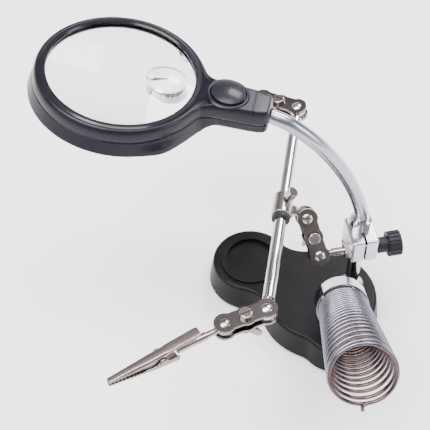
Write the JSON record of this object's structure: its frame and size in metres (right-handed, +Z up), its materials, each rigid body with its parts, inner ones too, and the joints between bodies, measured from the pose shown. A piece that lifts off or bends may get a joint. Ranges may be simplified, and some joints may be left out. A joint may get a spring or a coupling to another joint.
{
  "type": "helping hands magnifier",
  "caption": "Bench stand with a lit magnifying lens on a flexible neck, spring clips on a jointed cross rod and a coil rest for a soldering iron.",
  "frame": {"origin": "on the table, under the axis of the upright post, at the middle of the foot pad beneath it", "axes": "+Z up; the coil rest opens towards -Y; the magnifying lens hangs over -X"},
  "size_m": [0.1657, 0.1705, 0.1602],
  "materials": {
    "black_casting": "fine textured black enamel",
    "black_door": "matt moulded black",
    "cell_can": "printed-free bright can",
    "contact_metal": "nickel plated strip",
    "rubber": "matt black",
    "chrome": "bright chrome plate",
    "zinc_casting": "plated die casting, satin",
    "knob_plastic": "moulded black",
    "nickel": "bright nickel plate",
    "clip_steel": "nickel plated pressed steel",
    "ring_plastic": "black",
    "shell_plastic": "glossy black",
    "bezel_plastic": "glossy black",
    "lens_glass": "clear polished",
    "lamp_lens": "clear domed",
    "board": "green board",
    "switch_body": "black",
    "button_plastic": "satin black",
    "coil_wire": "plated spring wire"
  },
  "bodies": {
    "base": {"base_casting": "black_casting", "battery_cells": "cell_can", "battery_contacts": "contact_metal", "battery_springs": "contact_metal", "rubber_feet": "rubber", "post": "chrome", "post_nut": "nickel", "post_foot_collar": "chrome", "block_washer": "chrome", "rest_coil": "coil_wire", "rest_cup": "chrome", "rest_pedestal": "chrome", "rest_screw": "nickel"},
    "battery_door": {"battery_door": "black_door"},
    "swivel_block": {"swivel_block": "zinc_casting", "neck_collar": "chrome", "neck_stub": "chrome"},
    "clamp_knob": {"clamp_knob": "knob_plastic"},
    "clamp_bolt": {"clamp_bolt": "nickel"},
    "block_link": {"block_link_plates": "nickel", "block_link_bolt": "nickel"},
    "block_link_wing_nut": {"block_link_wing_nut": "nickel"},
    "cross_sleeve": {"cross_sleeve": "nickel", "sleeve_ring": "ring_plastic"},
    "sleeve_screw": {"sleeve_screw": "nickel"},
    "cross_rod": {"cross_rod": "chrome"},
    "front_link": {"front_link_plates": "nickel", "front_link_bolt": "nickel"},
    "front_link_wing_nut": {"front_link_wing_nut": "nickel"},
    "front_clip": {"front_clip_fixed_jaw": "clip_steel", "front_clip_ball_tail": "nickel", "front_clip_pin": "clip_steel", "front_clip_spring": "clip_steel"},
    "front_clip_jaw": {"front_clip_moving_jaw": "clip_steel"},
    "rear_link": {"rear_link_plates": "nickel", "rear_link_bolt": "nickel"},
    "rear_link_wing_nut": {"rear_link_wing_nut": "nickel"},
    "rear_clip": {"rear_clip_fixed_jaw": "clip_steel", "rear_clip_ball_tail": "nickel", "rear_clip_pin": "clip_steel", "rear_clip_spring": "clip_steel"},
    "rear_clip_jaw": {"rear_clip_moving_jaw": "clip_steel"},
    "neck_1": {"neck_segment_1": "chrome"},
    "neck_2": {"neck_segment_2": "chrome"},
    "neck_3": {"neck_segment_3": "chrome"},
    "neck_4": {"neck_segment_4": "chrome"},
    "neck_5": {"neck_segment_5": "chrome"},
    "head": {"neck_ferrule": "chrome", "head_upper_shell": "shell_plastic", "head_lower_shell": "shell_plastic", "bezel_ring": "bezel_plastic", "main_lens": "lens_glass", "small_lens": "lens_glass", "lamps": "lamp_lens", "grip_end_cap": "shell_plastic", "circuit_board": "board", "push_switch": "switch_body", "shell_screw": "nickel"},
    "switch_button": {"switch_button": "button_plastic"}
  },
  "joints": [
    {"name": "door_slide", "type": "slide", "parent": "base", "child": "battery_door", "axis": [-0.8508, 0.5255, 0], "range_m": [0, 0.005]},
    {"name": "block_swivel", "type": "hinge", "parent": "base", "child": "swivel_block", "pos_m": [0, 0, 0.05], "axis": [0, 0, 1], "range_deg": [-150, 12]},
    {"name": "knob_turn", "type": "hinge", "parent": "swivel_block", "child": "clamp_knob", "pos_m": [0.0015, -0.00791, 0.0565], "axis": [0.9826, 0.1857, 0], "range_deg": [0, 360]},
    {"name": "arm_tilt", "type": "hinge", "parent": "swivel_block", "child": "clamp_bolt", "pos_m": [0.0015, -0.00791, 0.0565], "axis": [0.9826, 0.1857, 0], "range_deg": [-20, 20]},
    {"name": "block_link_swing", "type": "hinge", "parent": "clamp_bolt", "child": "block_link", "pos_m": [-0.01963, -0.0119, 0.0565], "axis": [-0.1539, 0.8146, -0.5592], "range_deg": [-15, 15]},
    {"name": "block_wing_nut_turn", "type": "hinge", "parent": "block_link", "child": "block_link_wing_nut", "pos_m": [-0.02277, -0.00709, 0.06438], "axis": [-0.1539, 0.8146, -0.5592], "range_deg": [0, 360]},
    {"name": "sleeve_swing", "type": "hinge", "parent": "block_link", "child": "cross_sleeve", "pos_m": [-0.02592, -0.00228, 0.07225], "axis": [-0.1539, 0.8146, -0.5592], "range_deg": [-15, 15]},
    {"name": "sleeve_screw_turn", "type": "hinge", "parent": "cross_sleeve", "child": "sleeve_screw", "pos_m": [-0.0366, 0.00191, 0.0778], "axis": [0.4383, -0.0679, 0.8963], "range_deg": [0, 360]},
    {"name": "rod_slide", "type": "slide", "parent": "cross_sleeve", "child": "cross_rod", "axis": [0.153, 0.9882, 0], "range_m": [-0.035, 0.035]},
    {"name": "front_link_swing", "type": "hinge", "parent": "cross_rod", "child": "front_link", "pos_m": [-0.046, -0.05877, 0.0778], "axis": [0, 0, -1], "range_deg": [-45, 45]},
    {"name": "front_wing_nut_turn", "type": "hinge", "parent": "front_link", "child": "front_link_wing_nut", "pos_m": [-0.05495, -0.06264, 0.0778], "axis": [0, 0, -1], "range_deg": [0, 360]},
    {"name": "front_clip_swing", "type": "hinge", "parent": "front_link", "child": "front_clip", "pos_m": [-0.06389, -0.06651, 0.0778], "axis": [0, 0, -1], "range_deg": [-40, 40]},
    {"name": "front_jaw_open", "type": "hinge", "parent": "front_clip", "child": "front_clip_jaw", "pos_m": [-0.09085, -0.08182, 0.0783], "axis": [-0.4939, 0.8695, 0], "range_deg": [0, 12], "stiffness_Nm_per_rad": 0.03, "springref_deg": -28.65},
    {"name": "rear_link_swing", "type": "hinge", "parent": "cross_rod", "child": "rear_link", "pos_m": [-0.02746, 0.061, 0.0778], "axis": [0.1716, -0.0266, -0.9848], "range_deg": [-45, 45]},
    {"name": "rear_wing_nut_turn", "type": "hinge", "parent": "rear_link", "child": "rear_link_wing_nut", "pos_m": [-0.03576, 0.06586, 0.07622], "axis": [0.1716, -0.0266, -0.9848], "range_deg": [0, 360]},
    {"name": "rear_clip_swing", "type": "hinge", "parent": "rear_link", "child": "rear_clip", "pos_m": [-0.04407, 0.07071, 0.07464], "axis": [0.1716, -0.0266, -0.9848], "range_deg": [-40, 40]},
    {"name": "rear_jaw_open", "type": "hinge", "parent": "rear_clip", "child": "rear_clip_jaw", "pos_m": [-0.07468, 0.07174, 0.06979], "axis": [0.0367, 0.9991, -0.0206], "range_deg": [0, 12], "stiffness_Nm_per_rad": 0.03, "springref_deg": -28.65},
    {"name": "neck_bend_1", "type": "hinge", "parent": "swivel_block", "child": "neck_1", "pos_m": [-0.00161, -0.00086, 0.07781], "axis": [-0.0299, 0.9914, 0.1273], "range_deg": [-8, 12]},
    {"name": "neck_sway_1", "type": "hinge", "parent": "neck_1", "child": "neck_2", "pos_m": [-0.00566, -0.00298, 0.09146], "axis": [0.9433, 0, 0.3319], "range_deg": [-10, 10]},
    {"name": "neck_bend_2", "type": "hinge", "parent": "neck_2", "child": "neck_3", "pos_m": [-0.011, -0.00511, 0.10466], "axis": [-0.0576, 0.9905, 0.1248], "range_deg": [-8, 12]},
    {"name": "neck_sway_2", "type": "hinge", "parent": "neck_3", "child": "neck_4", "pos_m": [-0.01768, -0.00681, 0.11729], "axis": [0.8545, 0, 0.5195], "range_deg": [-10, 10]},
    {"name": "neck_bend_3", "type": "hinge", "parent": "neck_4", "child": "neck_5", "pos_m": [-0.02607, -0.0076, 0.12894], "axis": [-0.0047, 1, 0.0054], "range_deg": [-8, 12]},
    {"name": "neck_sway_3", "type": "hinge", "parent": "neck_5", "child": "head", "pos_m": [-0.03678, -0.00663, 0.13841], "axis": [0.5321, 0, 0.8467], "range_deg": [-10, 10]},
    {"name": "button_press", "type": "slide", "parent": "head", "child": "switch_button", "axis": [-0.1397, -0.0384, -0.9895], "range_m": [0, 0.001], "stiffness_N_per_m": 900, "springref_m": -0.0005}
  ],
  "couplings": [
    {"joint": "neck_bend_2", "follows": "neck_bend_1", "ratio": 1},
    {"joint": "neck_sway_2", "follows": "neck_sway_1", "ratio": 1},
    {"joint": "neck_bend_3", "follows": "neck_bend_1", "ratio": 1},
    {"joint": "neck_sway_3", "follows": "neck_sway_1", "ratio": 1}
  ]
}
